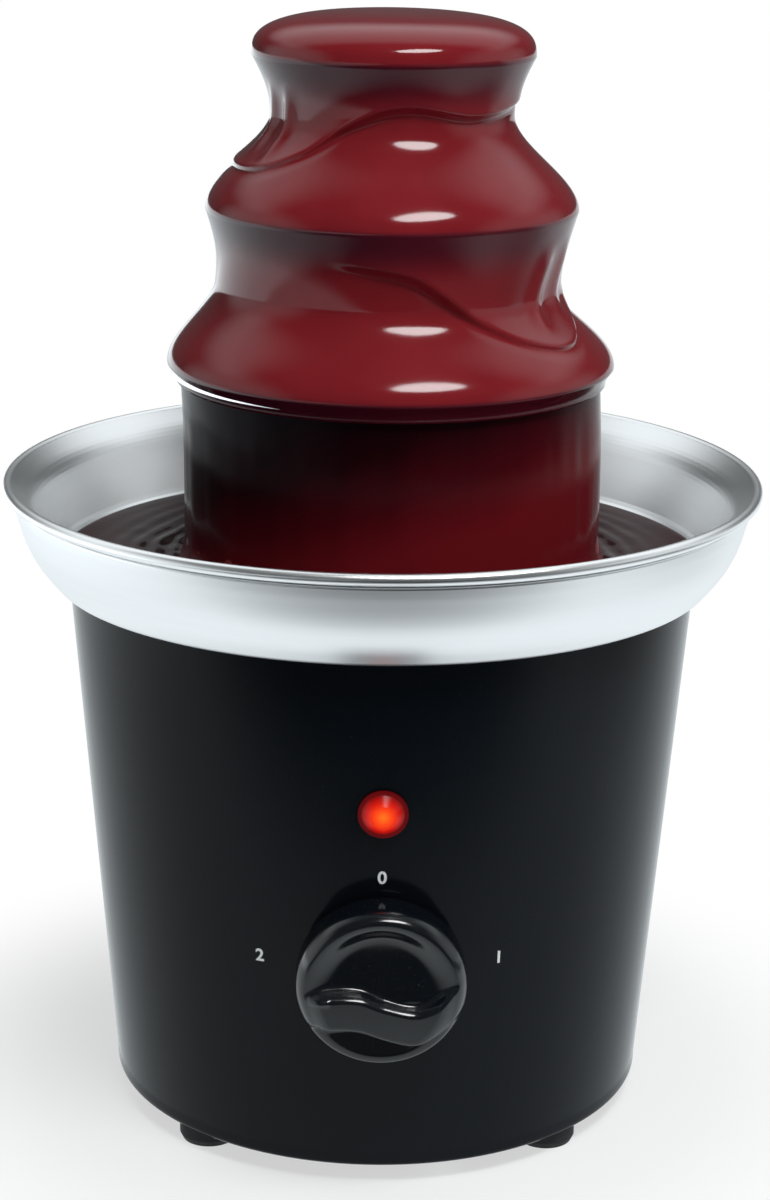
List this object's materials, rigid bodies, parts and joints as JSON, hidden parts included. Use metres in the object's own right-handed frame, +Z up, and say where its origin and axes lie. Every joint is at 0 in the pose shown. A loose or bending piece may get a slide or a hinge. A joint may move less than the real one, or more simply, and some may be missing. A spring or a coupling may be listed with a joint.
{
  "type": "chocolate fountain",
  "caption": "Electric table-top chocolate fountain: screw-fed tower of tiers over a steel bowl on a tapered base with a control knob and pilot lamp.",
  "frame": {"origin": "on the table, under the middle of the base, where the tower's axis meets the plane of the feet", "axes": "+Z up along the tower, front with the knob at -Y, +X to the viewer's right"},
  "size_m": [0.19, 0.19, 0.2768],
  "materials": {
    "black_plastic": "glossy blue-black moulding",
    "foot_rubber": "matt black rubber",
    "seal_rubber": "red silicone rubber",
    "bowl_steel": "brushed round the axis",
    "tier_steel": "satin, under the chocolate",
    "tube_plastic": "food grade plastic",
    "fastener_steel": "bright plated",
    "sheet_metal": "zinc plated sheet",
    "ceramic": "fired ceramic",
    "fuse_metal": "bright metal",
    "gear_plastic": "natural nylon",
    "brass": "turned",
    "dark_plastic": "dark moulding",
    "magnet": "ferrite",
    "rotor_metal": "laminated iron with copper winding",
    "lamp_red": "clear red lens, lit",
    "bulb_glass": "neon lamp",
    "chocolate": "wet melted chocolate"
  },
  "bodies": {
    "base": {"housing": "black_plastic", "bottom_cover": "black_plastic", "foot_1": "foot_rubber", "foot_2": "foot_rubber", "foot_3": "foot_rubber", "foot_4": "foot_rubber", "cover_screws": "fastener_steel", "bowl_pan": "bowl_steel", "bowl_skirt": "bowl_steel", "bowl_studs": "fastener_steel", "stud_spacers": "fastener_steel", "stud_nuts": "fastener_steel", "tower_pegs": "bowl_steel", "shaft_seal": "seal_rubber", "heater_ring": "ceramic", "heat_shield": "sheet_metal", "thermostat": "ceramic", "thermal_fuse": "fuse_metal", "mounting_plate": "sheet_metal", "gearbox_case": "gear_plastic", "gearbox_lid": "gear_plastic", "gearbox_screws": "fastener_steel", "gear_pin": "fastener_steel", "upper_bush": "brass", "lower_bush": "brass", "motor_can": "sheet_metal", "motor_end_cap": "dark_plastic", "motor_magnets": "magnet", "motor_screws": "fastener_steel", "rotary_switch": "dark_plastic", "switch_nut": "fastener_steel", "lamp_lens": "lamp_red", "lamp_holder": "dark_plastic", "lamp_bulb": "bulb_glass", "cord_gland": "black_plastic", "terminal_block": "gear_plastic", "terminal_screws": "fastener_steel", "chocolate_pool": "chocolate"},
    "output": {"drive_shaft": "fastener_steel", "output_gear": "gear_plastic", "shaft_clip": "fastener_steel"},
    "intermediate": {"intermediate_gear": "gear_plastic"},
    "rotor": {"motor_rotor": "rotor_metal", "motor_pinion": "brass"},
    "tower": {"tower_tube": "tube_plastic", "lower_tier": "tier_steel", "middle_tier": "tier_steel", "top_tier": "tier_steel", "chocolate_flow": "chocolate"},
    "screw": {"auger": "tube_plastic"},
    "knob": {"knob": "black_plastic", "switch_spindle": "fastener_steel"}
  },
  "joints": [
    {"name": "drive_spin", "type": "hinge", "parent": "base", "child": "output", "pos_m": [0, 0, 0.1], "axis": [0, 0, 1], "continuous": true},
    {"name": "intermediate_spin", "type": "hinge", "parent": "base", "child": "intermediate", "pos_m": [-0.029, 0, 0.085], "axis": [0, 0, 1], "continuous": true},
    {"name": "motor_spin", "type": "hinge", "parent": "base", "child": "rotor", "pos_m": [-0.01605, 0.02243, 0.06], "axis": [0, 0, 1], "continuous": true},
    {"name": "tower_lift", "type": "slide", "parent": "base", "child": "tower", "axis": [0, 0, 1], "range_m": [0, 0.18]},
    {"name": "screw_spin", "type": "hinge", "parent": "tower", "child": "screw", "pos_m": [0, 0, 0.2], "axis": [0, 0, 1], "continuous": true},
    {"name": "knob_turn", "type": "hinge", "parent": "base", "child": "knob", "pos_m": [0, -0.07272, 0.059], "axis": [0, -0.9968, -0.0795], "range_deg": [-180, 0]}
  ],
  "couplings": [
    {"joint": "intermediate_spin", "follows": "drive_spin", "ratio": -3.1429},
    {"joint": "motor_spin", "follows": "drive_spin", "ratio": 13.469},
    {"joint": "screw_spin", "follows": "drive_spin", "ratio": 1}
  ]
}
